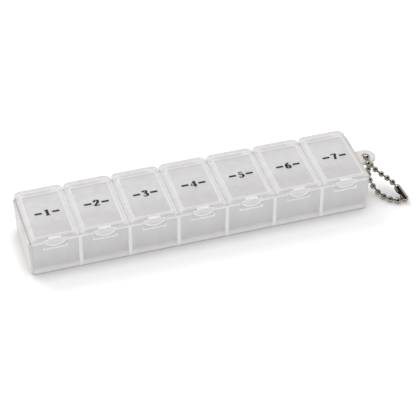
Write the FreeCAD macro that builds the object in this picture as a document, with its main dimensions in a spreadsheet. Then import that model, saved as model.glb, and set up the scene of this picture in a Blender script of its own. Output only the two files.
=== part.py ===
"""Weekly pill organizer: a tray of seven cells, a hinged lid on each, and a short ball chain.

Origin: centre of the tray's underside. X runs along the row of days, Y from the lids' thumb
lips at the front to the hinges at the back, Z up. Millimetres.
"""
import FreeCAD, Part
import math
import os
import Sketcher

DAYS = 7
FRONT_BALLS = 11
BACK_BALLS = 7

SIZES = [
    ("lid_pitch", 21.0),
    ("end_over", 0.7),
    ("tray_depth", 31.2),
    ("rim_height", 17.0),
    ("wall", 1.2),
    ("end_wall", 1.5),
    ("partition", 1.2),
    ("floor", 1.3),
    ("wall_draft", 1.9),
    ("tray_corner", 1.8),
    ("foot_round", 0.6),
    ("cell_round", 1.1),
    ("lid_gap", 0.3),
    ("lid_thick", 1.2),
    ("lid_front_over", 0.1),
    ("lid_back_over", 2.5),
    ("lid_back_corner", 3.0),
    ("lid_front_corner", 0.6),
    ("lid_edge_round", 0.3),
    ("panel_side_inset", 1.95),
    ("panel_front_inset", 1.2),
    ("panel_back_inset", 4.9),
    ("panel_raise", 1.0),
    ("panel_skin", 1.1),
    ("panel_draft", 8.0),
    ("panel_corner", 1.0),
    ("pad_width", 5.4),
    ("pad_raise", 0.5),
    ("pad_round", 0.25),
    ("lip_width", 9.0),
    ("lip_drop", 2.0),
    ("lip_thick", 1.0),
    ("lip_clearance", 0.5),
    ("notch_width", 9.5),
    ("notch_depth", 0.6),
    ("notch_height", 4.0),
    ("bead_width", 5.0),
    ("bead_reach", 0.35),
    ("bead_height", 0.6),
    ("hook_width", 4.0),
    ("hook_reach", 0.35),
    ("hook_height", 0.3),
    ("latch_play", 0.15),
    ("hinge_back", 1.8),
    ("hinge_drop", 1.7),
    ("rod_diameter", 1.6),
    ("rod_play", 0.06),
    ("knuckle_diameter", 2.8),
    ("clip_mouth", 1.2),
    ("clip_width", 9.4),
    ("clip_side_play", 0.3),
    ("ear_thick", 1.2),
    ("ear_root", 3.5),
    ("eye_reach", 3.7),
    ("eye_radius", 4.3),
    ("eye_hole", 3.7),
    ("eye_thick", 1.6),
    ("eye_drop", 0.8),
    ("eye_round", 0.35),
    ("ball_diameter", 2.5),
    ("ball_pitch", 3.3),
    ("ball_lift", 0.05),
    ("hanging_left", 0.9),
    ("hanging_rise", 0.15),
    ("link_diameter", 0.8),
    ("link_seat", 0.25),
    ("sleeve_wall", 0.22),
    ("sleeve_slot", 1.3),
    ("sleeve_window", 2.6),
    ("sleeve_end_hole", 1.5),
]

# Strands of the chain, in plan from the eye's centre and in height above the table.
FRONT_ROUTE = [(-0.5, -5.3, 12.5), (0.7, -5.2, 6.2), (3.2, -8.1, 2.0), (6.9, -13.9, 1.3),
               (9.6, -15.8, 1.35), (12.3, -16.0, 1.75)]
BACK_ROUTE = [(1.8, 0.4, 12.5), (5.2, 0.3, 7.2), (8.3, -4.2, 5.8), (10.9, -10.0, 4.7)]


def make_sheet(doc):
    """Keep every driving size in one spreadsheet, each under its own name."""
    sheet = doc.addObject("Spreadsheet::Sheet", "sizes")
    for row, (name, value) in enumerate(SIZES, start=1):
        sheet.set("A%d" % row, name)
        sheet.set("B%d" % row, str(value))
        sheet.setAlias("B%d" % row, name)
    doc.recompute()
    return sheet


def origin_feature(body, role):
    """Find one of a body's own origin planes or axes."""
    for feature in body.Origin.OriginFeatures:
        if feature.Role == role:
            return feature
    raise ValueError("no origin feature " + role)


def add_body(doc, label):
    body = doc.addObject("PartDesign::Body", label)
    body.Label = label
    return body


def add_sketch(body, name, role, offset="0"):
    """A sketch on an origin plane, moved along the plane's normal by an expression."""
    sketch = body.newObject("Sketcher::SketchObject", name)
    sketch.AttachmentSupport = (origin_feature(body, role), [""])
    sketch.MapMode = "FlatFace"
    sketch.setExpression("AttachmentOffset.Base.z", offset)
    return sketch


def evaluate(doc, expression):
    """Read an expression's present value from the sheet."""
    probe = doc.getObject("probe") or doc.addObject("App::FeaturePython", "probe")
    if "value" not in probe.PropertiesList:
        probe.addProperty("App::PropertyFloat", "value")
    probe.setExpression("value", expression)
    probe.recompute()
    return probe.value


def bind(sketch, kind, name, expression, *where):
    """Add a named dimension to a sketch and tie it to the sheet."""
    value = evaluate(sketch.Document, expression)
    index = sketch.addConstraint(Sketcher.Constraint(kind, *where, value))
    sketch.renameConstraint(index, name)
    sketch.setExpression("Constraints." + name, expression)


def place_point(sketch, name, geometry, end, across, up):
    """Tie one point's two coordinates to the sheet, whatever their signs."""
    bind(sketch, "DistanceX", name + "_across", across, -1, 1, geometry, end)
    bind(sketch, "DistanceY", name + "_up", up, -1, 1, geometry, end)


def vector(x, y):
    return FreeCAD.Vector(x, y, 0)


def draw_polygon(sketch, points, values):
    """A closed outline: each corner is a pair of expressions, first drawn near its place."""
    count = len(points)
    for index in range(count):
        start = vector(*values[index])
        end = vector(*values[(index + 1) % count])
        sketch.addGeometry(Part.LineSegment(start, end))
    for index in range(count):
        sketch.addConstraint(Sketcher.Constraint("Coincident", index, 2, (index + 1) % count, 1))
    for index, (across, up) in enumerate(points):
        place_point(sketch, "corner%d" % (index + 1), index, 1, across, up)


def outline(body, name, role, points, offset="0"):
    """A sketch that holds one closed outline of straight sides."""
    sketch = add_sketch(body, name, role, offset)
    doc = body.Document
    values = [(evaluate(doc, across), evaluate(doc, up)) for across, up in points]
    draw_polygon(sketch, points, values)
    return sketch


def box_points(left, right, low, high):
    return [(left, low), (right, low), (right, high), (left, high)]


def circle(body, name, role, across, up, radius, offset="0"):
    """A sketch that holds one circle."""
    sketch = add_sketch(body, name, role, offset)
    doc = body.Document
    centre = vector(evaluate(doc, across), evaluate(doc, up))
    sketch.addGeometry(Part.Circle(centre, FreeCAD.Vector(0, 0, 1), evaluate(doc, radius)))
    bind(sketch, "Radius", "radius", radius, 0)
    place_point(sketch, "centre", 0, 3, across, up)
    return sketch


def pad(body, name, sketch, length, taper=None, middle=False, downward=False):
    feature = body.newObject("PartDesign::Pad", name)
    feature.Profile = sketch
    feature.Midplane = middle
    feature.Reversed = downward
    feature.setExpression("Length", length)
    if taper:
        feature.setExpression("TaperAngle", taper)
    body.Document.recompute()
    return feature


def pocket(body, name, sketch, length, taper=None, middle=False, upward=False):
    """Cut a profile, and make sure that it took material away."""
    before = body.Shape.Volume
    feature = body.newObject("PartDesign::Pocket", name)
    feature.Profile = sketch
    feature.Midplane = middle
    feature.Reversed = upward
    feature.setExpression("Length", length)
    if taper:
        feature.setExpression("TaperAngle", taper)
    body.Document.recompute()
    if not feature.Shape.Volume < before - 0.01:
        raise RuntimeError(name + " cuts nothing")
    return feature


def repeat(body, name, originals, count, length):
    """Repeat features along the row."""
    feature = body.newObject("PartDesign::LinearPattern", name)
    feature.Originals = originals
    feature.Direction = (origin_feature(body, "X_Axis"), [""])
    feature.setExpression("Length", length)
    feature.Occurrences = count
    body.Tip = feature
    body.Document.recompute()
    return feature


def mirror(body, name, originals):
    """Repeat features on the other end of the row."""
    feature = body.newObject("PartDesign::Mirrored", name)
    feature.Originals = originals
    feature.MirrorPlane = (origin_feature(body, "YZ_Plane"), [""])
    body.Tip = feature
    body.Document.recompute()
    return feature


def round_edges(body, name, radius, wanted):
    """Round the edges of the body's present shape that pass a test."""
    base = body.Tip
    names = ["Edge%d" % (n + 1) for n, edge in enumerate(base.Shape.Edges) if wanted(edge)]
    if not names:
        raise RuntimeError(name + " finds no edge")
    feature = body.newObject("PartDesign::Fillet", name)
    feature.Base = (base, names)
    feature.setExpression("Radius", radius)
    body.Document.recompute()
    return feature


def ends(edge):
    points = [vertex.Point for vertex in edge.Vertexes]
    return points[0], points[-1]


def is_upright(edge):
    """True for an edge that climbs, drafted or not."""
    low, high = ends(edge)
    return abs(high.z - low.z) > 0.7 * edge.Length and edge.Length > 1.0


def is_level_at(edge, height):
    box = edge.BoundBox
    return abs(box.ZMin - height) < 0.01 and abs(box.ZMax - height) < 0.01


def make_tray(doc, size):
    """The tray in one moulding."""
    body = add_body(doc, "tray")
    half_row = "(sizes.lid_pitch * %g + sizes.end_over)" % (DAYS / 2)
    half_length = size["lid_pitch"] * DAYS / 2 + size["end_over"]
    half_depth = "sizes.tray_depth / 2"
    rim = "sizes.rim_height"
    first_day = "-sizes.lid_pitch * %d" % (DAYS // 2)
    whole_row = "sizes.lid_pitch * %d" % (DAYS - 1)

    # Outer form: drafted walls, rounded corners and foot.
    sides = box_points("-" + half_row, half_row, "-" + half_depth, half_depth)
    pad(body, "shell", outline(body, "shell_outline", "XY_Plane", sides, rim), rim,
        taper="-sizes.wall_draft", downward=True)
    round_edges(body, "shell_corners", "sizes.tray_corner", is_upright)
    round_edges(body, "shell_foot", "sizes.foot_round", lambda edge: is_level_at(edge, 0))

    # Cells: five alike between partitions, and one at each end, inside the end wall.
    cell_low = "-%s + sizes.wall" % half_depth
    cell_high = "%s - sizes.wall" % half_depth
    cell_deep = "sizes.rim_height - sizes.floor"
    second = "-sizes.lid_pitch * %d" % (DAYS // 2 - 1)
    inner = box_points(second + " - sizes.lid_pitch / 2 + sizes.partition / 2",
                       second + " + sizes.lid_pitch / 2 - sizes.partition / 2", cell_low, cell_high)
    cell = pocket(body, "cell", outline(body, "cell_outline", "XY_Plane", inner, rim), cell_deep,
                  taper="-sizes.wall_draft")
    repeat(body, "cells", [cell], DAYS - 2, "sizes.lid_pitch * %d" % (DAYS - 3))
    last = box_points("-%s + sizes.end_wall" % half_row,
                      first_day + " + sizes.lid_pitch / 2 - sizes.partition / 2", cell_low, cell_high)
    end_cell = pocket(body, "end_cell", outline(body, "end_cell_outline", "XY_Plane", last, rim), cell_deep,
                      taper="-sizes.wall_draft")
    mirror(body, "end_cells", [end_cell])

    def inside_cell(edge):
        box = edge.BoundBox
        deep = abs(box.YMin) < size["tray_depth"] / 2 - size["wall"] / 2
        deep = deep and abs(box.YMax) < size["tray_depth"] / 2 - size["wall"] / 2
        along = max(abs(box.XMin), abs(box.XMax)) < half_length - size["end_wall"] / 2
        return deep and along and (is_upright(edge) or is_level_at(edge, size["floor"]))

    round_edges(body, "cell_corners", "sizes.cell_round", inside_cell)

    # Thumb notches under the lids' lips, each with the ridge that holds the lip's hook.
    notch_face = "-%s + sizes.notch_depth" % half_depth
    notch_sides = box_points(first_day + " - sizes.notch_width / 2", first_day + " + sizes.notch_width / 2",
                             "-%s - 1" % half_depth, notch_face)
    notch = pocket(body, "notch", outline(body, "notch_outline", "XY_Plane", notch_sides, rim),
                   "sizes.notch_height")
    repeat(body, "notches", [notch], DAYS, whole_row)
    bead_low = ("sizes.rim_height - sizes.lip_drop + sizes.hook_height + sizes.latch_play * 2")
    ridge = [(notch_face + " + 0.1", bead_low + " - 0.1"),
             (notch_face + " - sizes.bead_reach", bead_low + " + 0.15"),
             (notch_face + " - sizes.bead_reach", bead_low + " + sizes.bead_height / 2"),
             (notch_face + " + 0.1", bead_low + " + sizes.bead_height")]
    bead = pad(body, "bead", outline(body, "bead_outline", "YZ_Plane", ridge, first_day), "sizes.bead_width",
               middle=True)
    repeat(body, "beads", [bead], DAYS, whole_row)

    # Hinge ears on the back wall, and the rod that each pair carries.
    axis_y = half_depth + " + sizes.hinge_back"
    axis_z = "sizes.rim_height - sizes.hinge_drop"
    side = "(sizes.clip_width / 2 + sizes.clip_side_play)"
    ears = []
    for name, start in (("left_ear", "%s - %s - sizes.ear_thick" % (first_day, side)),
                        ("right_ear", "%s + %s" % (first_day, side))):
        sketch = ear_outline(body, name + "_outline", half_depth, axis_y, axis_z, start)
        ears.append(pad(body, name, sketch, "sizes.ear_thick"))
    repeat(body, "ears", ears, DAYS, whole_row)
    rod_sketch = circle(body, "rod_outline", "YZ_Plane", axis_y, axis_z, "sizes.rod_diameter / 2", first_day)
    rod = pad(body, "rod", rod_sketch, "2 * (%s + sizes.ear_thick / 2)" % side, middle=True)
    repeat(body, "rods", [rod], DAYS, whole_row)

    # Eye for the chain, on the right-hand end wall.
    eye_low = "sizes.rim_height - sizes.eye_drop - sizes.eye_thick"
    eye_sketch = eye_outline(body, half_row, eye_low)
    pad(body, "eye", eye_sketch, "sizes.eye_thick")
    eye_levels = [size["rim_height"] - size["eye_drop"] - part for part in (0, size["eye_thick"])]

    def on_eye(edge):
        level = is_level_at(edge, eye_levels[0]) or is_level_at(edge, eye_levels[1])
        return level and edge.BoundBox.XMax > half_length + 0.5

    round_edges(body, "eye_edges", "sizes.eye_round", on_eye)
    return body


def ear_outline(body, name, half_depth, axis_y, axis_z, offset):
    """An ear seen from the end: a round nose about the rod, run back into the wall."""
    sketch = add_sketch(body, name, "YZ_Plane", offset)
    doc = body.Document
    nose = vector(evaluate(doc, axis_y), evaluate(doc, axis_z))
    radius = evaluate(doc, "sizes.knuckle_diameter / 2")
    root = evaluate(doc, half_depth + " - sizes.wall / 2")
    low = evaluate(doc, "sizes.rim_height - sizes.ear_root")
    top = vector(nose.x, nose.y + radius)
    foot = nose + vector(0.35 * radius, -0.93 * radius)
    z_axis = FreeCAD.Vector(0, 0, 1)
    arc = Part.ArcOfCircle(Part.Circle(nose, z_axis, radius), -1.2, math.pi / 2)
    sketch.addGeometry(arc)
    sketch.addGeometry(Part.LineSegment(top, vector(root, top.y)))
    sketch.addGeometry(Part.LineSegment(vector(root, top.y), vector(root, low)))
    sketch.addGeometry(Part.LineSegment(vector(root, low), foot))
    sketch.addConstraint(Sketcher.Constraint("Tangent", 0, 2, 1, 1))
    sketch.addConstraint(Sketcher.Constraint("Coincident", 1, 2, 2, 1))
    sketch.addConstraint(Sketcher.Constraint("Coincident", 2, 2, 3, 1))
    sketch.addConstraint(Sketcher.Constraint("Tangent", 3, 2, 0, 1))
    sketch.addConstraint(Sketcher.Constraint("Horizontal", 1))
    sketch.addConstraint(Sketcher.Constraint("Vertical", 2))
    bind(sketch, "Radius", "nose", "sizes.knuckle_diameter / 2", 0)
    place_point(sketch, "rod", 0, 3, axis_y, axis_z)
    place_point(sketch, "root", 2, 2, half_depth + " - sizes.wall / 2", "sizes.rim_height - sizes.ear_root")
    return sketch


def eye_outline(body, half_row, level):
    """The eye from above: straight sides from the wall, a round end and a hole."""
    sketch = add_sketch(body, "eye_outline", "XY_Plane", level)
    doc = body.Document
    centre = vector(evaluate(doc, half_row + " + sizes.eye_reach"), 0)
    radius = evaluate(doc, "sizes.eye_radius")
    root = evaluate(doc, half_row + " - sizes.wall / 2")
    z_axis = FreeCAD.Vector(0, 0, 1)
    sketch.addGeometry(Part.ArcOfCircle(Part.Circle(centre, z_axis, radius), -math.pi / 2, math.pi / 2))
    sketch.addGeometry(Part.LineSegment(centre + vector(0, radius), vector(root, radius)))
    sketch.addGeometry(Part.LineSegment(vector(root, radius), vector(root, -radius)))
    sketch.addGeometry(Part.LineSegment(vector(root, -radius), centre - vector(0, radius)))
    sketch.addGeometry(Part.Circle(centre, z_axis, evaluate(doc, "sizes.eye_hole / 2")))
    sketch.addConstraint(Sketcher.Constraint("Tangent", 0, 2, 1, 1))
    sketch.addConstraint(Sketcher.Constraint("Coincident", 1, 2, 2, 1))
    sketch.addConstraint(Sketcher.Constraint("Coincident", 2, 2, 3, 1))
    sketch.addConstraint(Sketcher.Constraint("Tangent", 3, 2, 0, 1))
    sketch.addConstraint(Sketcher.Constraint("Horizontal", 1))
    sketch.addConstraint(Sketcher.Constraint("Horizontal", 3))
    sketch.addConstraint(Sketcher.Constraint("Vertical", 2))
    sketch.addConstraint(Sketcher.Constraint("PointOnObject", 0, 3, -1))
    sketch.addConstraint(Sketcher.Constraint("Coincident", 4, 3, 0, 3))
    bind(sketch, "Radius", "round_end", "sizes.eye_radius", 0)
    bind(sketch, "Radius", "hole", "sizes.eye_hole / 2", 4)
    bind(sketch, "DistanceX", "reach", half_row + " + sizes.eye_reach", -1, 1, 0, 3)
    bind(sketch, "DistanceX", "root", half_row + " - sizes.wall / 2", -1, 1, 2, 1)
    return sketch


def lip_outline(body, offset):
    """The thumb lip seen from the front: straight above, a wide arc below."""
    sketch = add_sketch(body, "lip_outline", "XZ_Plane", offset)
    doc = body.Document
    half = evaluate(doc, "sizes.lip_width / 2")
    rim = evaluate(doc, "sizes.rim_height")
    top = evaluate(doc, "sizes.rim_height + sizes.lid_thick")
    low = evaluate(doc, "sizes.rim_height - sizes.lip_drop")
    left, right = vector(-half, rim), vector(half, rim)
    sketch.addGeometry(Part.Arc(left, vector(0, low), right))
    sketch.addGeometry(Part.LineSegment(right, vector(half, top)))
    sketch.addGeometry(Part.LineSegment(vector(half, top), vector(-half, top)))
    sketch.addGeometry(Part.LineSegment(vector(-half, top), left))
    sketch.addConstraint(Sketcher.Constraint("Coincident", 0, 1, 3, 2))
    sketch.addConstraint(Sketcher.Constraint("Coincident", 0, 2, 1, 1))
    sketch.addConstraint(Sketcher.Constraint("Coincident", 1, 2, 2, 1))
    sketch.addConstraint(Sketcher.Constraint("Coincident", 2, 2, 3, 1))
    place_point(sketch, "right_top", 1, 2, "sizes.lip_width / 2", "sizes.rim_height + sizes.lid_thick")
    place_point(sketch, "left_top", 2, 2, "-sizes.lip_width / 2", "sizes.rim_height + sizes.lid_thick")
    place_point(sketch, "right_low", 1, 1, "sizes.lip_width / 2", "sizes.rim_height")
    place_point(sketch, "left_low", 3, 2, "-sizes.lip_width / 2", "sizes.rim_height")
    bind(sketch, "Radius", "lower_arc",
         "(sizes.lip_width ^ 2 / 4 + sizes.lip_drop ^ 2) / (2 * sizes.lip_drop)", 0)
    return sketch


def make_lid(doc, size, day):
    """One day's lid, closed, on its own rod."""
    body = add_body(doc, "lid_%d" % day)
    half = "(sizes.lid_pitch - sizes.lid_gap) / 2"
    front = "(-sizes.tray_depth / 2 - sizes.lid_front_over)"
    back = "(sizes.tray_depth / 2 + sizes.lid_back_over)"
    rim = "sizes.rim_height"
    top = "sizes.rim_height + sizes.lid_thick"

    # Flange, with the back corners rounded more than the front ones.
    sides = box_points("-" + half, half, front, back)
    pad(body, "flange", outline(body, "flange_outline", "XY_Plane", sides, rim), "sizes.lid_thick")
    round_edges(body, "back_corners", "sizes.lid_back_corner",
                lambda edge: is_upright(edge) and edge.BoundBox.YMin > 0)
    round_edges(body, "front_corners", "sizes.lid_front_corner",
                lambda edge: is_upright(edge) and edge.BoundBox.YMax < 0)

    # Raised panel, drafted, and hollow from below.
    spread = "sizes.panel_raise * tan(sizes.panel_draft)"
    panel_side = "(%s - sizes.panel_side_inset + %s)" % (half, spread)
    panel_front = "(%s + sizes.panel_front_inset - %s)" % (front, spread)
    panel_back = "(%s - sizes.panel_back_inset + %s)" % (back, spread)
    panel = box_points("-" + panel_side, panel_side, panel_front, panel_back)
    pad(body, "panel", outline(body, "panel_outline", "XY_Plane", panel, top), "sizes.panel_raise",
        taper="-sizes.panel_draft")
    flange_top = size["rim_height"] + size["lid_thick"]
    round_edges(body, "panel_corners", "sizes.panel_corner",
                lambda edge: edge.BoundBox.ZMin > flange_top - 0.01 and edge.BoundBox.ZLength > 0.5)
    hollow = box_points("-%s + sizes.panel_skin" % panel_side, panel_side + " - sizes.panel_skin",
                        panel_front + " + sizes.panel_skin", panel_back + " - sizes.panel_skin")
    pocket(body, "hollow", outline(body, "hollow_outline", "XY_Plane", hollow, rim),
           "sizes.lid_thick + sizes.panel_raise - sizes.panel_skin", taper="-sizes.panel_draft", upward=True)

    # Thumb lip at the front, with a raised pad above it.
    lip_back = "sizes.tray_depth / 2 - sizes.notch_depth + sizes.lip_clearance"
    pad(body, "lip", lip_outline(body, lip_back), "sizes.lip_thick")
    thumb = box_points("-sizes.pad_width / 2", "sizes.pad_width / 2",
                       "-(%s) - sizes.lip_thick / 2" % lip_back, panel_front + " + sizes.panel_skin")
    pad(body, "thumb_pad", outline(body, "thumb_pad_outline", "XY_Plane", thumb, top), "sizes.pad_raise")
    pad_top = flange_top + size["pad_raise"]
    pad_front = -size["tray_depth"] / 2 + size["notch_depth"] - size["lip_clearance"] - size["lip_thick"] / 2
    round_edges(body, "thumb_pad_edges", "sizes.pad_round",
                lambda edge: is_level_at(edge, pad_top) and abs(edge.BoundBox.YMin - pad_front) < 0.01)

    # Hook behind the lip, which snaps under the tray's ridge.
    inside = "-(%s)" % lip_back
    hook_low = "sizes.rim_height - sizes.lip_drop + sizes.latch_play"
    hook_shape = [(inside + " - 0.2", hook_low), (inside + " + sizes.hook_reach", hook_low + " + 0.1"),
                  (inside + " + sizes.hook_reach", hook_low + " + sizes.hook_height - 0.05"),
                  (inside + " - 0.2", hook_low + " + sizes.hook_height")]
    pad(body, "hook", outline(body, "hook_outline", "YZ_Plane", hook_shape), "sizes.hook_width", middle=True)

    # Hinge clip: an arm under the back edge, a round knuckle, its bore and its snap mouth.
    axis_y = "(sizes.tray_depth / 2 + sizes.hinge_back)"
    axis_z = "(sizes.rim_height - sizes.hinge_drop)"
    arm = box_points(axis_y + " - sizes.knuckle_diameter / 2", back + " - 0.1", axis_z,
                     "sizes.rim_height + sizes.lid_thick / 2")
    pad(body, "arm", outline(body, "arm_outline", "YZ_Plane", arm), "sizes.clip_width", middle=True)
    knuckle = circle(body, "knuckle_outline", "YZ_Plane", axis_y, axis_z, "sizes.knuckle_diameter / 2")
    pad(body, "knuckle", knuckle, "sizes.clip_width", middle=True)
    bore = circle(body, "bore_outline", "YZ_Plane", axis_y, axis_z, "sizes.rod_diameter / 2 + sizes.rod_play")
    pocket(body, "bore", bore, "sizes.clip_width + 1", middle=True)
    mouth = box_points(axis_y + " - sizes.clip_mouth / 2", axis_y + " + sizes.clip_mouth / 2",
                       axis_z + " - sizes.knuckle_diameter", axis_z)
    pocket(body, "mouth", outline(body, "mouth_outline", "YZ_Plane", mouth), "sizes.clip_width + 1",
           middle=True)

    # Soft edges on the panel, the flange and the lip.
    panel_top = size["rim_height"] + size["lid_thick"] + size["panel_raise"]
    lip_face = -size["tray_depth"] / 2 + size["notch_depth"] - size["lip_clearance"] - size["lip_thick"]

    def on_lip(edge):
        box = edge.BoundBox
        return abs(box.YMin - lip_face) < 0.01 and abs(box.YMax - lip_face) < 0.01

    round_edges(body, "panel_edges", "sizes.lid_edge_round", lambda edge: is_level_at(edge, panel_top))
    round_edges(body, "lip_edges", "sizes.lid_edge_round", on_lip)
    body.setExpression("Placement.Base.x", "sizes.lid_pitch * %d" % (day - 1 - DAYS // 2))
    return body


def eye_centre(size):
    """Centre of the eye's hole, at the height of the eye's top face."""
    across = size["lid_pitch"] * DAYS / 2 + size["end_over"] + size["eye_reach"]
    return FreeCAD.Vector(across, 0, size["rim_height"] - size["eye_drop"])


def walk(start, route, steps, pitch):
    """Step along a smooth route so that each point is one pitch from the one before."""
    curve = Part.BSplineCurve()
    curve.interpolate([start] + route)
    first, last = curve.FirstParameter, curve.LastParameter
    samples = 2000
    track = [curve.value(first + (last - first) * n / samples) for n in range(samples + 1)]
    heading = (track[-1] - track[-2]).normalize()
    track += [track[-1] + heading * (n * pitch / 100) for n in range(1, 1000)]
    places = []
    here = start
    for point in track:
        if len(places) < steps and (point - here).Length >= pitch:
            here = here + (point - here).normalize() * pitch
            places.append(here)
    return places


def chain_places(size):
    """Centres of all balls, from one end of the coupling sleeve round to the other."""
    eye = eye_centre(size)
    radius = size["ball_diameter"] / 2
    pitch = size["ball_pitch"]
    # One ball lies on the eye's web, the next hangs just outside its front edge.
    rise = radius + size["ball_lift"]
    outside = size["eye_radius"] + radius + 2 * size["ball_lift"]
    hanging = eye + FreeCAD.Vector(-size["hanging_left"], -outside, size["hanging_rise"])
    inward = (eye - hanging).normalize()
    inward.z = 0
    inward.normalize()
    climb = rise - size["hanging_rise"]
    resting = hanging + inward * math.sqrt(pitch ** 2 - climb ** 2) + FreeCAD.Vector(0, 0, climb)
    in_hole = FreeCAD.Vector(eye.x, eye.y, 0)
    flat = (FreeCAD.Vector(resting.x, resting.y, 0) - in_hole).Length
    in_hole.z = resting.z - math.sqrt(pitch ** 2 - flat ** 2)
    front = [FreeCAD.Vector(eye.x + x, eye.y + y, z) for x, y, z in FRONT_ROUTE]
    back = [FreeCAD.Vector(eye.x + x, eye.y + y, z) for x, y, z in BACK_ROUTE]
    front_balls = [resting, hanging] + walk(hanging, front, FRONT_BALLS - 2, pitch)
    back_balls = walk(in_hole, back, BACK_BALLS, pitch)
    return front_balls[::-1] + [in_hole] + back_balls


def turned_to(direction):
    return FreeCAD.Rotation(FreeCAD.Vector(0, 0, 1), direction)


def add_cylinder(doc, name, radius, height, start, direction):
    """A cylinder from a start point along a direction; sizes are expressions."""
    rod = doc.addObject("Part::Cylinder", name)
    rod.setExpression("Radius", radius)
    rod.setExpression("Height", height)
    rod.Placement = FreeCAD.Placement(start, turned_to(direction))
    return rod


def make_ball(doc, size, number, centre, neighbours):
    """One ball, with a seat for each link that enters it."""
    sphere = doc.addObject("Part::Sphere", "ball_%02d_sphere" % number)
    sphere.setExpression("Radius", "sizes.ball_diameter / 2")
    sphere.Placement.Base = centre
    seats = []
    for index, neighbour in enumerate(neighbours):
        direction = (neighbour - centre).normalize()
        start = centre + direction * (size["ball_diameter"] / 2 - size["link_seat"])
        seats.append(add_cylinder(doc, "ball_%02d_seat_%d" % (number, index + 1),
                                  "sizes.link_diameter / 2", "2 * sizes.link_seat", start, direction))
    body = sphere
    for index, seat in enumerate(seats):
        cut = doc.addObject("Part::Cut", "ball_%02d_cut_%d" % (number, index + 1))
        cut.Base = body
        cut.Tool = seat
        body = cut
    body.Label = "chain_ball_%02d" % number
    return body


def make_link(doc, size, number, start, end):
    """The wire link between two balls, seated in both."""
    direction = (end - start).normalize()
    first = start + direction * (size["ball_diameter"] / 2 - size["link_seat"])
    link = add_cylinder(doc, "link_%02d" % number, "sizes.link_diameter / 2",
                        "sizes.ball_pitch - sizes.ball_diameter + 2 * sizes.link_seat", first, direction)
    link.Label = "chain_link_%02d" % number
    return link


def make_capsule(doc, name, radius, start, end):
    """A rounded rod from one end ball's centre to the other's."""
    span = end - start
    middle = add_cylinder(doc, name + "_middle", radius, "%.9f" % span.Length, start, span)
    balls = []
    for index, centre in enumerate((start, end)):
        ball = doc.addObject("Part::Sphere", "%s_end_%d" % (name, index + 1))
        ball.setExpression("Radius", radius)
        ball.Placement = FreeCAD.Placement(centre, turned_to(span))
        balls.append(ball)
    whole = doc.addObject("Part::MultiFuse", name)
    whole.Shapes = [middle] + balls
    whole.Refine = True
    return whole


def make_coupling(doc, size, start, end, next_to_start):
    """The coupling sleeve: a slotted shell that holds the chain's two end balls."""
    span = end - start
    axis = FreeCAD.Vector(span).normalize()
    side = next_to_start - start
    side = (side - axis * side.dot(axis)).normalize()
    across = side.cross(axis)
    outer = "sizes.ball_diameter / 2 + sizes.sleeve_wall"
    reach = size["ball_diameter"] / 2 + size["sleeve_wall"] + 1
    shell = make_capsule(doc, "sleeve_outside", outer, start, end)
    room = make_capsule(doc, "sleeve_inside", "sizes.ball_diameter / 2", start, end)
    ends_hole = add_cylinder(doc, "sleeve_end_holes", "sizes.sleeve_end_hole / 2",
                             "%.9f" % (span.Length + 2 * reach), start - axis * reach, axis)
    window = add_cylinder(doc, "sleeve_window", "sizes.sleeve_window / 2", "%.9f" % reach,
                          (start + end) / 2, side)
    slot = doc.addObject("Part::Box", "sleeve_slot")
    slot.setExpression("Length", "sizes.sleeve_slot")
    slot.Width = reach
    slot.Height = span.Length + 2 * reach
    corner = start - axis * reach - across * (size["sleeve_slot"] / 2)
    slot.Placement = FreeCAD.Placement(corner, FreeCAD.Rotation(across, side, axis, "ZXY"))
    body = shell
    for tool in (room, ends_hole, window, slot):
        cut = doc.addObject("Part::Cut", tool.Name + "_cut")
        cut.Base = body
        cut.Tool = tool
        body = cut
    body.Label = "chain_coupling"
    return body


def make_chain(doc, size):
    """The ball chain: balls, the links between them and the sleeve that closes the loop."""
    places = chain_places(size)
    pieces = []
    for index, centre in enumerate(places):
        neighbours = places[max(index - 1, 0):index] + places[index + 1:index + 2]
        pieces.append(make_ball(doc, size, index + 1, centre, neighbours))
    for index in range(len(places) - 1):
        pieces.append(make_link(doc, size, index + 1, places[index], places[index + 1]))
    pieces.append(make_coupling(doc, size, places[0], places[-1], places[1]))
    return pieces


def check(doc, pieces):
    """Stop if any object failed or any piece isn't one sound solid."""
    for item in doc.Objects:
        if "Invalid" in item.State or "Error" in item.State:
            raise RuntimeError("%s is %s" % (item.Name, item.State))
    for piece in pieces:
        shape = piece.Shape
        if shape.isNull() or not shape.isValid() or len(shape.Solids) != 1:
            raise RuntimeError("%s isn't one sound solid" % piece.Label)


def main():
    doc = FreeCAD.newDocument("pill_organizer")
    sheet = make_sheet(doc)
    size = {name: sheet.get(name) for name, value in SIZES}
    pieces = [make_tray(doc, size)]
    for day in range(1, DAYS + 1):
        pieces.append(make_lid(doc, size, day))
    pieces += make_chain(doc, size)
    doc.recompute()
    check(doc, pieces)
    os.makedirs("parts", exist_ok=True)
    for piece in pieces:
        piece.Shape.exportStep(os.path.join("parts", piece.Label + ".step"))
        print("%-16s volume %.2f" % (piece.Label, piece.Shape.Volume))


main()
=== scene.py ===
"""Looks of the weekly pill organizer: finishes, printed numbers, light and camera."""
import math

import bmesh
import bpy
from mathutils import Matrix, Quaternion, Vector


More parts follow.
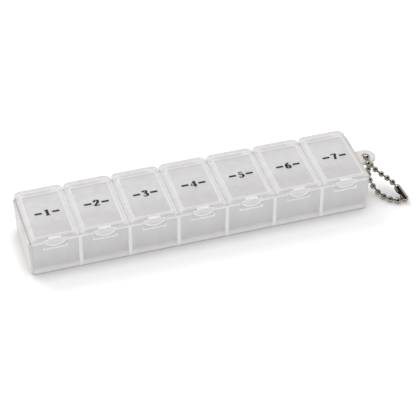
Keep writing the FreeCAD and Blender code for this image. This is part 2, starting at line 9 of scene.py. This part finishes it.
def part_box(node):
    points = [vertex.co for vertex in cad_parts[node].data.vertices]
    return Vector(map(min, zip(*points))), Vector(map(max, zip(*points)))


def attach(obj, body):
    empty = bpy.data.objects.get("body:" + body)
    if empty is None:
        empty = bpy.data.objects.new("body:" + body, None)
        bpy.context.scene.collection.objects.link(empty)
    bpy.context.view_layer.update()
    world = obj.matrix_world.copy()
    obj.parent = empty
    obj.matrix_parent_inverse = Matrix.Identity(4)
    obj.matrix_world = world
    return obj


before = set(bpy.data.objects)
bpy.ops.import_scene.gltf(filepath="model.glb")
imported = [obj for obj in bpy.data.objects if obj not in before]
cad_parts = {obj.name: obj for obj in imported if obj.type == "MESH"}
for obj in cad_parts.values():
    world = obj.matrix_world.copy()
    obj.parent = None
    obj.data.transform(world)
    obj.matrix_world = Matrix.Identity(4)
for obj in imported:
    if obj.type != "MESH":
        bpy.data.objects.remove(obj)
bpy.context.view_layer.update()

MM = 0.001
DAYS = range(1, 8)

# Lines of the tray, in millimetres, from the frame. The row runs along x, with its front at the low end of y.
TRAY_LOW, TRAY_HIGH = [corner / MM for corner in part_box("tray")]
HALF_ROW = -TRAY_LOW.x
HALF_DEPTH = -TRAY_LOW.y
RIM = TRAY_HIGH.z
PARTITION_HALF = 0.6
NOTCH_HALF = 4.75
NOTCH_LOW = RIM - 4.0
EYE_CENTRE = HALF_ROW + 3.7
EYE_RADIUS = 4.3

# Lines of the lids, in millimetres. Fronts are distances ahead of the row's middle. A lid's border is drawn
# on to BEYOND_LIP, because its front edge has a mask of its own.
LID_LOW, LID_HIGH = [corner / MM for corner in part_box("lid_1")]
LID_PITCH = (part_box("lid_2")[0].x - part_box("lid_1")[0].x) / MM
LID_HALF = (LID_HIGH.x - LID_LOW.x) / 2
LIDS_END = -LID_LOW.x
LID_FRONT = HALF_DEPTH + 0.1
LID_BACK = HALF_DEPTH + 2.5
LID_BACK_CORNER = 3.0
BEYOND_LIP = LID_FRONT + 5.3
PANEL_HALF = LID_HALF - 1.9
PANEL_FRONT = LID_FRONT - 1.2
PANEL_BACK = LID_BACK - 4.8
PANEL_CORNER = 1.2
PANEL_TOP = LID_HIGH.z
FLANGE_TOP = PANEL_TOP - 1.0
# How far inside the panel's front and back its painted shade lines lie.
SHADE_LINE_INSET = 1.6
PAD_HALF = 2.7
LIP_HALF = 4.5
LIP_DROP = 2.0
LIP_RADIUS = (LIP_HALF ** 2 + LIP_DROP ** 2) / (2 * LIP_DROP)
LIP_CENTRE = RIM - LIP_DROP + LIP_RADIUS

# Where a tone of painted light or shade fades, from one place to the other, in millimetres: up from the table
# on the tray's foot, long walls, seat and ends; back and ahead from the middle on its ends; and ahead from
# the middle on a panel.
FOOT_FADE = (1.4, 5.0)
WALL_FADE = (0.0, 14.0)
SEAT_FADE = (0.35, 0.8)
END_RISE_FADE = (4.0, RIM)
END_BACK_FADE = (2.0, 14.0)
END_FRONT_FADE = (8.0, 14.0)
PANEL_FADE = (0.0, 11.0)

# Nearly all of a noise's pattern lies between these two values.
NOISE_SPAN = (0.3, 0.7)

# Frosted polypropylene: how much it hides where it is thin and where it is thick, and its colours. The thick
# tint also gives the painted highlights; the shade and glow tints give painted shade and a painted glow. All
# scales are in features per metre.
TRAY_CLEAR = 0.42
LID_CLEAR = 0.50
MILKY_DENSE = 0.88
POLYPROPYLENE_IOR = 1.49
THIN_TINT = (0.875, 0.862, 0.868)
THICK_AND_HIGHLIGHT_TINT = (0.97, 0.965, 0.965)
SHADE_TINT = (0.61, 0.585, 0.575)
GLOW_TINT = (0.20, 0.196, 0.193)
CLOUD_SCALE = 70.0
FLOW_SCALE = 240.0
FLOW_STRETCH = (1.0, 1.0, 0.25)
CLOUD_DEPTH = 0.08
GRAIN_SCALE = 4200.0
GRAIN_RELIEF = 0.01 * MM
GRAIN_ROUGHNESS = (0.30, 0.42)

# Plated steel of the chain.
BEAD_TONE = (0.49, 0.445, 0.395)
BEAD_ROUGHNESS = 0.05
SLEEVE_TONE = (0.46, 0.415, 0.37)
SLEEVE_ROUGHNESS = 0.06
GRAZING_TINT = (0.05, 0.04, 0.035)
WEAR_SCALE = 900.0
WEAR_DIMMING = 0.8
WEAR_ROUGHNESS = 0.12

# Printed numbers: lengths in metres. The base is a number's foot, measured from the row's middle.
DIGIT_HEIGHT = 3.9 * MM
DIGIT_BASE = -1.85 * MM
DIGIT_SHIFT = 0.4 * MM
INK_FILM = 0.03 * MM
INK_SUNK = INK_FILM / 3
INK_STEP = 0.001 * MM

# Printed numbers: shares of a digit's height.
DIGIT_WIDTH = 0.56
DIGIT_STRETCH = 1.2
NIB_THICK = 0.26
NIB_THIN = 0.13
BAR_START = 0.55
BAR_LENGTH = 0.80
BAR_WIDTH = 0.29
BAR_RISE = 0.5

# How fast the nib turns from thin to thick, and how finely curves and dots are drawn.
NIB_CONTRAST = 1.5
CURVE_STEPS = 8
DOT_SEGMENTS = 20

# How each digit is drawn, in shares of its height from its lower left corner. A stroke is its points and its
# width, or None where the broad nib sets it. A dot, the round end of a stroke, is its centre and its radius.
DIGITS = {
    1: {"strokes": [([(0.30, 0.0), (0.30, 0.99)], 0.27),
                    ([(0.34, 0.94), (0.06, 0.82)], 0.11),
                    ([(0.06, 0.035), (0.54, 0.035)], 0.07)],
        "dots": []},
    2: {"strokes": [([(0.10, 0.70), (0.12, 0.86), (0.27, 0.965), (0.42, 0.88), (0.44, 0.70),
                      (0.33, 0.45), (0.06, 0.09)], None),
                    ([(0.04, 0.08), (0.50, 0.08)], 0.16),
                    ([(0.49, 0.03), (0.55, 0.26)], 0.07)],
        "dots": [((0.12, 0.72), 0.085)]},
    3: {"strokes": [([(0.10, 0.80), (0.16, 0.92), (0.28, 0.965), (0.40, 0.88), (0.40, 0.70),
                      (0.30, 0.56), (0.19, 0.53)], None),
                    ([(0.19, 0.53), (0.36, 0.49), (0.46, 0.31), (0.42, 0.12), (0.27, 0.035),
                      (0.12, 0.07)], None)],
        "dots": [((0.13, 0.78), 0.08), ((0.11, 0.13), 0.09)]},
    4: {"strokes": [([(0.40, 0.0), (0.40, 0.99)], 0.24),
                    ([(0.0, 0.30), (0.58, 0.30)], 0.14),
                    ([(0.36, 0.97), (0.04, 0.33)], 0.09)],
        "dots": []},
    5: {"strokes": [([(0.13, 0.91), (0.49, 0.91)], 0.16),
                    ([(0.145, 0.95), (0.12, 0.50)], 0.07),
                    ([(0.12, 0.50), (0.27, 0.60), (0.42, 0.50), (0.46, 0.29), (0.38, 0.10),
                      (0.24, 0.035), (0.11, 0.08)], None)],
        "dots": [((0.11, 0.14), 0.09)]},
    6: {"strokes": [([(0.47, 0.95), (0.31, 0.87), (0.17, 0.68), (0.12, 0.40), (0.16, 0.12),
                      (0.29, 0.035), (0.41, 0.11), (0.45, 0.30), (0.41, 0.49), (0.29, 0.575),
                      (0.15, 0.47)], None)],
        "dots": []},
    7: {"strokes": [([(0.06, 0.91), (0.53, 0.91)], 0.17),
                    ([(0.075, 0.97), (0.04, 0.70)], 0.07),
                    ([(0.48, 0.88), (0.36, 0.55), (0.27, 0.0)], 0.24)],
        "dots": []},
}

# Printing ink.
INK_BLACK = (0.010, 0.010, 0.011)
INK_WORN = (0.030, 0.029, 0.029)
INK_GLOSS = 0.25
INK_PATCH_SCALE = 1500.0
INK_ROUGHNESS = (0.42, 0.60)

# The white light tent. The edge and the full values are cosines of the angle from the opening's middle.
WORLD_LIGHT = 0.84
TENT_OPENING = (-0.2, -0.74, 0.64)
OPENING_EDGE = 0.35
OPENING_FULL = 0.85
OPENING_SHADE = 0.09
MIRRORED_FULL = 0.55
MIRRORED_DARK = 0.97

# The key light, in metres and watts.
KEY_PLACE = Vector((-0.35, 0.8, 1.0))
KEY_SIZE = 0.6
KEY_POWER = 4.5

# The floor, in metres. What is seen of it has the shade, the glow and a painted contact shadow; the object
# gets the bounce.
FLOOR_SIZE = 6.0
FLOOR_ROUGHNESS = 0.9
FLOOR_SHADE = 0.98
FLOOR_BOUNCE = 0.8
FLOOR_GLOW = 0.19
# The painted contact shadow's colour, and how far it reaches.
FLOOR_CONTACT_SHADOW = (0.20, 0.165, 0.145)
CONTACT_SHADOW_REACH = 7.0 * MM

# Where the photograph was taken from, and what it looks at.
CAMERA_PLACE = Vector((-154.3, -536.2, 471.0)) * MM
CAMERA_AIM = Vector((4.8, -6.4, 10.1)) * MM
CAMERA_ROLL = math.radians(-0.38)
CAMERA_LENS = 147.7
CAMERA_SENSOR = 36.0
CAMERA_NEAR = 0.01


class Value:
    """A shader number that can be added, multiplied and compared like a plain one."""

    def __init__(self, wiring, socket):
        self.wiring = wiring
        self.socket = socket

    def _math(self, operation, first, second):
        return self.wiring.value("ShaderNodeMath", "Value", {"operation": operation}, {0: first, 1: second})

    def __add__(self, other):
        return self._math("ADD", self, other)

    __radd__ = __add__

    def __sub__(self, other):
        return self._math("SUBTRACT", self, other)

    def __rsub__(self, other):
        return self._math("SUBTRACT", other, self)

    def __neg__(self):
        return self._math("MULTIPLY", self, -1.0)

    def __mul__(self, other):
        return self._math("MULTIPLY", self, other)

    __rmul__ = __mul__

    def __pow__(self, other):
        return self._math("POWER", self, other)

    def __abs__(self):
        return self._math("ABSOLUTE", self, 0.0)

    def most(self, other):
        """The larger of the two."""
        return self._math("MAXIMUM", self, other)

    def least(self, other):
        """The smaller of the two."""
        return self._math("MINIMUM", self, other)


class Wiring:
    """The nodes of one material, or of the world."""

    def __init__(self, tree):
        self.nodes = tree.nodes
        self.links = tree.links

    def node(self, kind, settings=None, inputs=None):
        """Add a node: its settings first, then values or links for its sockets."""
        node = self.nodes.new(kind)
        for name, setting in (settings or {}).items():
            setattr(node, name, setting)
        for name, given in (inputs or {}).items():
            if isinstance(given, Value):
                self.links.new(given.socket, node.inputs[name])
            else:
                node.inputs[name].default_value = given
        return node

    def value(self, kind, output, settings=None, inputs=None):
        """Add a node and take one of its outputs."""
        return Value(self, self.node(kind, settings, inputs).outputs[output])

    def ramp(self, value, low, high, out_low=0.0, out_high=1.0):
        """A soft step from out_low to out_high."""
        return self.value("ShaderNodeMapRange", "Result", {"interpolation_type": "SMOOTHSTEP"},
                          {"Value": value, "From Min": low, "From Max": high,
                           "To Min": out_low, "To Max": out_high})

    def line(self, value, place, half, soft):
        """1 along a line at the given place, fading out over a soft edge."""
        return 1.0 - self.ramp(abs(value - place), half, half + soft)

    def inside(self, value, low, high, soft):
        """1 between two places, fading out over a soft edge."""
        return self.ramp(value, low - soft, low) * (1.0 - self.ramp(value, high, high + soft))

    def mix(self, factor, first, second):
        """Blend two colours, on the Mix node's colour sockets, which are its inputs 6 and 7 and output 2."""
        return self.value("ShaderNodeMix", 2, {"data_type": "RGBA"}, {0: factor, 6: first, 7: second})

    def ray_kinds(self):
        """Three values that are 1 for a ray from the camera, off something glossy, or through plastic."""
        path = self.node("ShaderNodeLightPath")
        kinds = ["Is Camera Ray", "Is Glossy Ray", "Is Transmission Ray"]
        return [Value(self, path.outputs[kind]) for kind in kinds]


class Finish(Wiring):
    """One procedural material on a Principled shader, patterned over the object's own coordinates."""

    def __init__(self, name, **constants):
        self.material = bpy.data.materials.new(name)
        self.material.use_nodes = True
        super().__init__(self.material.node_tree)
        self.shader = self.nodes["Principled BSDF"]
        for socket, constant in constants.items():
            self.shader.inputs[socket.replace("_", " ")].default_value = constant
        self.place = self.value("ShaderNodeTexCoord", "Object")

    def feed(self, socket, value):
        self.links.new(value.socket, self.shader.inputs[socket])

    def axes(self):
        """The surface point's place across, along and up, in millimetres."""
        place = self.value("ShaderNodeVectorMath", "Vector", {"operation": "SCALE"},
                           {"Vector": self.place, "Scale": 1 / MM})
        split = self.node("ShaderNodeSeparateXYZ", None, {"Vector": place})
        return [Value(self, split.outputs[name]) for name in ("X", "Y", "Z")]

    def noise(self, scale, detail=2.0, roughness=0.5, stretch=(1, 1, 1)):
        """Smooth noise; scale is in features per metre."""
        place = self.value("ShaderNodeVectorMath", "Vector", {"operation": "MULTIPLY"},
                           {0: self.place, 1: stretch})
        return self.value("ShaderNodeTexNoise", "Fac", None,
                          {"Vector": place, "Scale": scale, "Detail": detail, "Roughness": roughness})

    def from_repeat(self, value, pitch):
        """Distance from the middle of the nearest repeat."""
        folded = self.value("ShaderNodeMath", "Value", {"operation": "WRAP"},
                            {0: value, 1: pitch / 2, 2: -pitch / 2})
        return abs(folded)

    def from_border(self, across, along, half_width, low, high, corner):
        """Distance out from the border of a rounded rectangle from low to high, negative inside it."""
        wide = abs(across) - (half_width - corner)
        long = abs(along - (low + high) / 2) - ((high - low) / 2 - corner)
        outside = (wide.most(0.0) ** 2.0 + long.most(0.0) ** 2.0) ** 0.5
        return outside + wide.most(long).least(0.0) - corner

    def bump(self, height, depth):
        """Raise the surface by a height from 0 to 1, depth in metres."""
        self.feed("Normal", self.value("ShaderNodeBump", "Normal", None,
                                       {"Height": height, "Distance": depth, "Strength": 1.0}))


def colour(red, green, blue):
    """A colour as a shader's socket takes it."""
    return (red, green, blue, 1.0)


def grey(level):
    return colour(level, level, level)


def strongest(*weighted):
    """The strongest of several masks, each given as its weight and the mask."""
    (weight, mask), *others = weighted
    result = mask * weight
    for weight, mask in others:
        result = result.most(mask * weight)
    return result


def milky_plastic(name, form, clear, dense):
    """Frosted polypropylene: see-through in its thin skins, whiter where thick, with painted highlights,
    shade and glow.

    form draws the masks of one piece; clear and dense are how much thin and thick plastic hide.
    """
    finish = Finish(name, IOR=POLYPROPYLENE_IOR, Emission_Strength=1.0)
    # The form's masks: thickness together with painted highlights, then painted shade, then a painted glow.
    thick, shade, glow = form(finish)
    cloud = finish.noise(CLOUD_SCALE, detail=3.0)
    flow = finish.noise(FLOW_SCALE, stretch=FLOW_STRETCH)
    milk = finish.ramp(cloud, *NOISE_SPAN) * 0.5 + finish.ramp(flow, *NOISE_SPAN) * 0.5
    tint = finish.mix(thick, colour(*THIN_TINT), colour(*THICK_AND_HIGHLIGHT_TINT))
    # Painted shade: the colour turns to the shade tint under the shade mask.
    finish.feed("Base Color", finish.mix(shade, tint, colour(*SHADE_TINT)))
    # Painted glow: the plastic gives off light under the glow mask, though it is no lamp.
    finish.feed("Emission Color", finish.mix(glow, grey(0.0), colour(*GLOW_TINT)))
    finish.feed("Alpha", thick * (dense - clear) + clear + (milk - 0.5) * CLOUD_DEPTH)
    grain = finish.noise(GRAIN_SCALE, roughness=0.6)
    finish.feed("Roughness", finish.ramp(grain, *NOISE_SPAN, *GRAIN_ROUGHNESS))
    finish.bump(grain, GRAIN_RELIEF)
    return finish.material


def lid_form(finish):
    """Masks of where a lid is thick or painted bright, where shade is painted on it, and where a painted glow
    lies on an edge.

    Places and soft edges are in millimetres, and a weight says how strongly its mask counts.
    """
    across, along, up = finish.axes()
    ahead = -along
    middle = finish.from_repeat(across, LID_PITCH)
    panel = finish.from_border(middle, along, PANEL_HALF, -PANEL_FRONT, PANEL_BACK, PANEL_CORNER)
    border = finish.from_border(middle, along, LID_HALF, -BEYOND_LIP, LID_BACK, LID_BACK_CORNER)
    lip_turn = (middle ** 2.0 + (up - LIP_CENTRE) ** 2.0) ** 0.5

    behind_panel = finish.ramp(along, PANEL_BACK + 0.1, PANEL_BACK + 0.5)
    beside_pad = finish.ramp(middle, PAD_HALF - 0.3, PAD_HALF + 0.2)
    row_end = finish.ramp(abs(across), LIDS_END - 0.55, LIDS_END - 0.25)

    # Thickness, with painted highlights on the panel's ring and the lip's edge.
    ring = finish.inside(panel, -0.45, 0.35, 0.3)
    flange = finish.ramp(panel, 0.1, 0.4)
    edge = finish.ramp(border, -0.6, -0.2)
    front_face = finish.ramp(ahead, LID_FRONT - 0.3, LID_FRONT - 0.05)
    front_face = front_face * finish.inside(up, RIM, RIM + 0.8, 0.2)
    over_back_wall = finish.line(along, HALF_DEPTH + 0.5, 0.3, 0.4)
    pad = finish.ramp(ahead, PANEL_FRONT - 0.1, PANEL_FRONT + 0.2) * (1.0 - beside_pad)
    lip = finish.ramp(ahead, LID_FRONT + 0.05, LID_FRONT + 0.15)
    lip_edge = finish.line(lip_turn, LIP_RADIUS - 0.26, 0.3, 0.4) * lip
    thick = strongest((0.6, ring), (0.2, flange), (0.2, edge), (0.5, front_face), (0.35, over_back_wall),
                      (0.45, pad), (0.65, lip), (1.0, lip_edge))

    # Painted shade: a strip before the panel, outlines at the back and row ends, the back flange, and panel
    # lines.
    front_strip = finish.inside(ahead, PANEL_FRONT + 0.25, LID_FRONT - 0.1, 0.1) * beside_pad
    front_strip = front_strip * (1.0 - finish.ramp(middle, PANEL_HALF - 0.05, PANEL_HALF + 0.55))
    front_strip = front_strip * finish.ramp(up, FLANGE_TOP - 0.3, FLANGE_TOP - 0.1)
    back_outline = finish.ramp(border, -0.35, -0.15) * behind_panel
    back_flange = finish.ramp(panel, 0.9, 1.4) * behind_panel
    back_shade_line = finish.line(along, PANEL_BACK - SHADE_LINE_INSET, 0.4, 0.5)
    front_shade_line = finish.line(ahead, PANEL_FRONT - SHADE_LINE_INSET, 0.3, 0.5)
    front_half = finish.ramp(ahead, *PANEL_FADE)
    on_panel = 1.0 - finish.ramp(panel, -0.9, -0.5)
    panel_shade = strongest((0.3, back_shade_line), (0.15, front_shade_line), (0.28, front_half)) * on_panel
    shade = strongest((0.5, front_strip), (0.9, back_outline), (0.9, row_end), (0.35, back_flange),
                      (1.0, panel_shade))

    # Painted glow on the panel's walls, the lip's edge, the sides of the gaps and the front face.
    panel_wall = finish.inside(up, FLANGE_TOP + 0.1, PANEL_TOP - 0.15, 0.1) * finish.ramp(panel, 0.0, 0.05)
    gap_side = finish.ramp(border, -0.1, -0.03) * (1.0 - behind_panel) * (1.0 - row_end)
    glow = strongest((0.75, panel_wall), (0.5, lip_edge), (0.12, gap_side), (0.3, front_face))
    return thick, shade, glow


def tray_form(finish):
    """Masks of where the tray is thick or painted pale, where shade is painted on it, and where a painted
    glow lies on an edge.

    Places and soft edges are in millimetres, and a weight says how strongly its mask counts.
    """
    across, along, up = finish.axes()
    ahead = -along
    depth = abs(along)
    length = abs(across)
    middle = finish.from_repeat(across, LID_PITCH)
    from_partition = finish.from_repeat(across + LID_PITCH / 2, LID_PITCH)
    from_eye = ((length - EYE_CENTRE) ** 2.0 + depth ** 2.0) ** 0.5

    long_wall = finish.ramp(depth, HALF_DEPTH - 1.7, HALF_DEPTH - 1.3)
    end_wall = finish.ramp(length, HALF_ROW - 1.9, HALF_ROW - 1.5)
    partition = 1.0 - finish.ramp(from_partition, PARTITION_HALF - 0.1, PARTITION_HALF + 0.5)
    # The partitions between the cells are painted paler and given a glow.
    between_cells = partition * (1.0 - long_wall)
    foot = (1.0 - finish.ramp(up, *FOOT_FADE)) * long_wall.most(end_wall)
    # Painted light: the long walls turn paler towards the top.
    climb = finish.ramp(up, *WALL_FADE) * long_wall
    rim = finish.ramp(up, RIM - 1.1, RIM - 0.6)
    corner = finish.ramp(length, HALF_ROW - 2.0, HALF_ROW - 1.0)
    corner = corner * finish.ramp(depth, HALF_DEPTH - 2.0, HALF_DEPTH - 1.2)

    notch_side = finish.line(middle, NOTCH_HALF + 0.1, 0.15, 0.25)
    notch_side = notch_side * finish.inside(up, NOTCH_LOW, NOTCH_LOW + 1.2, 0.2)
    notch_ledge = finish.line(up, NOTCH_LOW, 0.12, 0.2)
    notch_ledge = notch_ledge * (1.0 - finish.ramp(middle, NOTCH_HALF + 0.05, NOTCH_HALF + 0.35))
    notch = notch_ledge.most(notch_side) * finish.ramp(ahead, HALF_DEPTH - 0.9, HALF_DEPTH - 0.7)

    eye = finish.ramp(length, HALF_ROW + 0.2, HALF_ROW + 0.6)
    eye_edge = finish.ramp(from_eye, EYE_RADIUS - 0.7, EYE_RADIUS - 0.4) * eye
    bands = (partition * long_wall).most(rim).most(notch)
    # Thickness, with painted light: the long walls paler towards the top and the partitions paler.
    thick = strongest((1.0, bands), (0.8, foot), (1.0, corner), (0.7, end_wall), (0.45, eye),
                      (1.0, between_cells), (0.5, climb))

    # Painted shade on the end walls: darker towards the rim and the back, and paler at the front.
    rise = finish.ramp(up, *END_RISE_FADE)
    back = finish.ramp(along, *END_BACK_FADE)
    front = finish.ramp(ahead, *END_FRONT_FADE)
    end_shade = 0.75 + rise * 0.15 + back * 0.25 - front * 0.3
    # Painted shade where the tray sits on the table, on the end walls and round the eye's edge; the eye is
    # painted paler.
    seat = 1.0 - finish.ramp(up, *SEAT_FADE)
    shade = strongest((0.85, seat), (1.0, end_wall * end_shade - eye * 0.6), (0.6, eye_edge))
    # Painted glow on the bands, the notches, the foot and the partitions.
    glow = strongest((0.35, bands * (1.0 - end_wall * 0.8)), (0.7, notch), (0.14, foot),
                     (0.7, between_cells))
    return thick, shade, glow


def nickel_plate(name, tone, roughness):
    """Bright plated steel, slightly warm, with fine rubbed scratches."""
    finish = Finish(name, Metallic=1.0, Specular_Tint=colour(*GRAZING_TINT))
    wear = finish.noise(WEAR_SCALE, detail=4.0, roughness=0.6)
    worn_tone = [part * WEAR_DIMMING for part in tone]
    bright = finish.ramp(wear, 0.35, 0.7)
    finish.feed("Base Color", finish.mix(bright, colour(*worn_tone), colour(*tone)))
    finish.feed("Roughness", finish.ramp(wear, *NOISE_SPAN, roughness, roughness + WEAR_ROUGHNESS))
    return finish.material


def printing_ink():
    """Black pad-printing ink, a little uneven where the grain of the plastic takes it."""
    finish = Finish("printing_ink", Specular_IOR_Level=INK_GLOSS)
    patch = finish.noise(INK_PATCH_SCALE, detail=4.0, roughness=0.7)
    worn = finish.ramp(patch, 0.35, 0.75)
    finish.feed("Base Color", finish.mix(worn, colour(*INK_BLACK), colour(*INK_WORN)))
    finish.feed("Roughness", finish.ramp(patch, *NOISE_SPAN, *INK_ROUGHNESS))
    return finish.material


def coat(name, material):
    """Give a CAD piece its finish."""
    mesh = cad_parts[name].data
    mesh.materials.clear()
    mesh.materials.append(material)


def dress_pieces():
    """Give every CAD piece its finish."""
    coat("tray", milky_plastic("tray_polypropylene", tray_form, TRAY_CLEAR, MILKY_DENSE))
    lid_plastic = milky_plastic("lid_polypropylene", lid_form, LID_CLEAR, MILKY_DENSE)
    for day in DAYS:
        coat("lid_%d" % day, lid_plastic)
    beads = nickel_plate("bead_nickel", BEAD_TONE, BEAD_ROUGHNESS)
    sleeve = nickel_plate("sleeve_nickel", SLEEVE_TONE, SLEEVE_ROUGHNESS)
    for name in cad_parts:
        if name.startswith(("chain_ball", "chain_link")):
            coat(name, beads)
    coat("chain_coupling", sleeve)


def nib_width(direction):
    """A broad nib: thick on the way down, thin across."""
    return NIB_THIN + (NIB_THICK - NIB_THIN) * abs(direction.y) ** NIB_CONTRAST


def smooth_path(points, steps):
    """A smooth curve through a stroke's points, in equal steps from each point to the next."""
    ends = [points[0] * 2 - points[1]] + points + [points[-1] * 2 - points[-2]]
    path = []
    for first, start, end, last in zip(ends, ends[1:], ends[2:], ends[3:]):
        for step in range(steps):
            t = step / steps
            path.append(0.5 * (2 * start + (end - first) * t
                               + (2 * first - 5 * start + 4 * end - last) * t ** 2
                               + (3 * start - first - 3 * end + last) * t ** 3))
    return path + [points[-1]]


def ink_stroke(shape, layer, points, width):
    """One stroke as a flat ribbon. Each layer lies a step higher, so that no two strokes share a plane."""
    lift = Vector((0, 0, layer * INK_STEP))
    points = [Vector(point) for point in points]
    path = points if len(points) == 2 else smooth_path(points, CURVE_STEPS)
    left = []
    right = []
    for index, place in enumerate(path):
        before = path[max(index - 1, 0)]
        after = path[min(index + 1, len(path) - 1)]
        direction = (after - before).normalized()
        side = Vector((-direction.y, direction.x)) * (width or nib_width(direction)) / 2
        left.append(shape.verts.new((place + side).to_3d() + lift))
        right.append(shape.verts.new((place - side).to_3d() + lift))
    for index in range(len(path) - 1):
        shape.faces.new((right[index], right[index + 1], left[index + 1], left[index]))


def ink_dot(shape, layer, place, radius):
    """The round end of a stroke."""
    bmesh.ops.create_circle(shape, cap_ends=True, segments=DOT_SEGMENTS, radius=radius,
                            matrix=Matrix.Translation((*place, layer * INK_STEP)))


def draw_number(day):
    """The day's number between two bars, flat, in shares of its height and with its foot at the origin."""
    shape = bmesh.new()
    strokes = DIGITS[day]["strokes"]
    for layer, (points, width) in enumerate(strokes):
        ink_stroke(shape, layer, points, width)
    for layer, (place, radius) in enumerate(DIGITS[day]["dots"], start=len(strokes)):
        ink_dot(shape, layer, place, radius)
    bmesh.ops.translate(shape, verts=shape.verts, vec=(-DIGIT_WIDTH / 2, 0, 0))
    bmesh.ops.scale(shape, verts=shape.verts, vec=(DIGIT_STRETCH, 1.0, 1.0))
    ends = (BAR_START, BAR_START + BAR_LENGTH)
    for left, right in ((-ends[1], -ends[0]), ends):
        ink_stroke(shape, 0, [(left, BAR_RISE), (right, BAR_RISE)], BAR_WIDTH)
    return shape


def print_number(day, ink):
    """Lay the day's number on its lid's panel as a film of ink."""
    low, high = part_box("lid_%d" % day)
    shape = draw_number(day)
    bmesh.ops.scale(shape, verts=shape.verts, vec=(DIGIT_HEIGHT, DIGIT_HEIGHT, 1.0))
    raised = bmesh.ops.extrude_face_region(shape, geom=shape.faces[:])
    tops = [part for part in raised["geom"] if isinstance(part, bmesh.types.BMVert)]
    bmesh.ops.translate(shape, verts=tops, vec=(0, 0, INK_FILM))
    bmesh.ops.recalc_face_normals(shape, faces=shape.faces)
    bmesh.ops.translate(shape, verts=shape.verts,
                        vec=((low.x + high.x) / 2 + DIGIT_SHIFT, DIGIT_BASE, high.z - INK_SUNK))
    mesh = bpy.data.meshes.new("day_number_%d" % day)
    shape.to_mesh(mesh)
    shape.free()
    mesh.materials.append(ink)
    number = bpy.data.objects.new("day_number_%d" % day, mesh)
    bpy.context.scene.collection.objects.link(number)
    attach(number, "lid_%d" % day)


def print_numbers():
    """Print the days' numbers on all lids."""
    ink = printing_ink()
    for day in DAYS:
        print_number(day, ink)


def make_floor():
    """A wide white sweep that looks white and keeps the object's shadow, with a painted contact shadow close
    to it.
    """
    bpy.ops.mesh.primitive_plane_add(size=FLOOR_SIZE, location=(0, 0, 0))
    floor = bpy.context.object
    floor.name = "studio_floor"
    finish = Finish("floor_paper", Roughness=FLOOR_ROUGHNESS, Specular_IOR_Level=0.0, Emission_Strength=1.0)
    camera, glossy, through = finish.ray_kinds()
    seen = camera.most(glossy).most(through)
    # Painted contact shadow: the floor's colour darkens where the object stands close.
    open_air = finish.value("ShaderNodeAmbientOcclusion", "AO", None, {"Distance": CONTACT_SHADOW_REACH})
    paper_and_contact_shadow = finish.mix(open_air, colour(*FLOOR_CONTACT_SHADOW), grey(FLOOR_SHADE))
    finish.feed("Base Color", finish.mix(seen, grey(FLOOR_BOUNCE), paper_and_contact_shadow))
    finish.feed("Emission Color", finish.mix(seen, grey(0.0), grey(FLOOR_GLOW)))
    floor.data.materials.append(finish.material)


def make_world():
    """A white light tent, with a dim opening on the side the photograph was taken from."""
    world = bpy.data.worlds.new("studio_world")
    bpy.context.scene.world = world
    world.use_nodes = True
    tent = Wiring(world.node_tree)
    direction = tent.value("ShaderNodeTexCoord", "Generated")
    facing = tent.value("ShaderNodeVectorMath", "Value", {"operation": "DOT_PRODUCT"},
                        {0: direction, 1: TENT_OPENING})
    lighting = WORLD_LIGHT - tent.ramp(facing, OPENING_EDGE, OPENING_FULL) * OPENING_SHADE
    mirrored = 1.0 - tent.ramp(facing, OPENING_EDGE, MIRRORED_FULL) * MIRRORED_DARK
    camera, glossy, through = tent.ray_kinds()
    plain = 1.0 - camera.most(glossy).most(through)
    strength = plain * lighting + glossy * mirrored + camera.most(through)
    background = tent.nodes["Background"]
    background.inputs["Color"].default_value = grey(1.0)
    tent.links.new(strength.socket, background.inputs["Strength"])


def add_key_light():
    """A square softbox behind the row, turned to its middle."""
    light = bpy.data.lights.new("key_softbox", "AREA")
    light.size = KEY_SIZE
    light.energy = KEY_POWER
    lamp = bpy.data.objects.new("key_softbox", light)
    bpy.context.scene.collection.objects.link(lamp)
    lamp.location = KEY_PLACE
    lamp.rotation_euler = (-KEY_PLACE).to_track_quat("-Z", "Y").to_euler()


def make_camera():
    """The photograph's camera."""
    camera = bpy.data.cameras.new("photo_camera")
    camera.lens = CAMERA_LENS
    camera.sensor_width = CAMERA_SENSOR
    camera.clip_start = CAMERA_NEAR
    holder = bpy.data.objects.new("photo_camera", camera)
    bpy.context.scene.collection.objects.link(holder)
    holder.location = CAMERA_PLACE
    aimed = (CAMERA_AIM - CAMERA_PLACE).to_track_quat("-Z", "Y")
    holder.rotation_euler = (aimed @ Quaternion((0, 0, 1), CAMERA_ROLL)).to_euler()
    bpy.context.scene.camera = holder


dress_pieces()
print_numbers()
make_floor()
make_world()
add_key_light()
make_camera()
bpy.context.scene.view_settings.view_transform = "Standard"
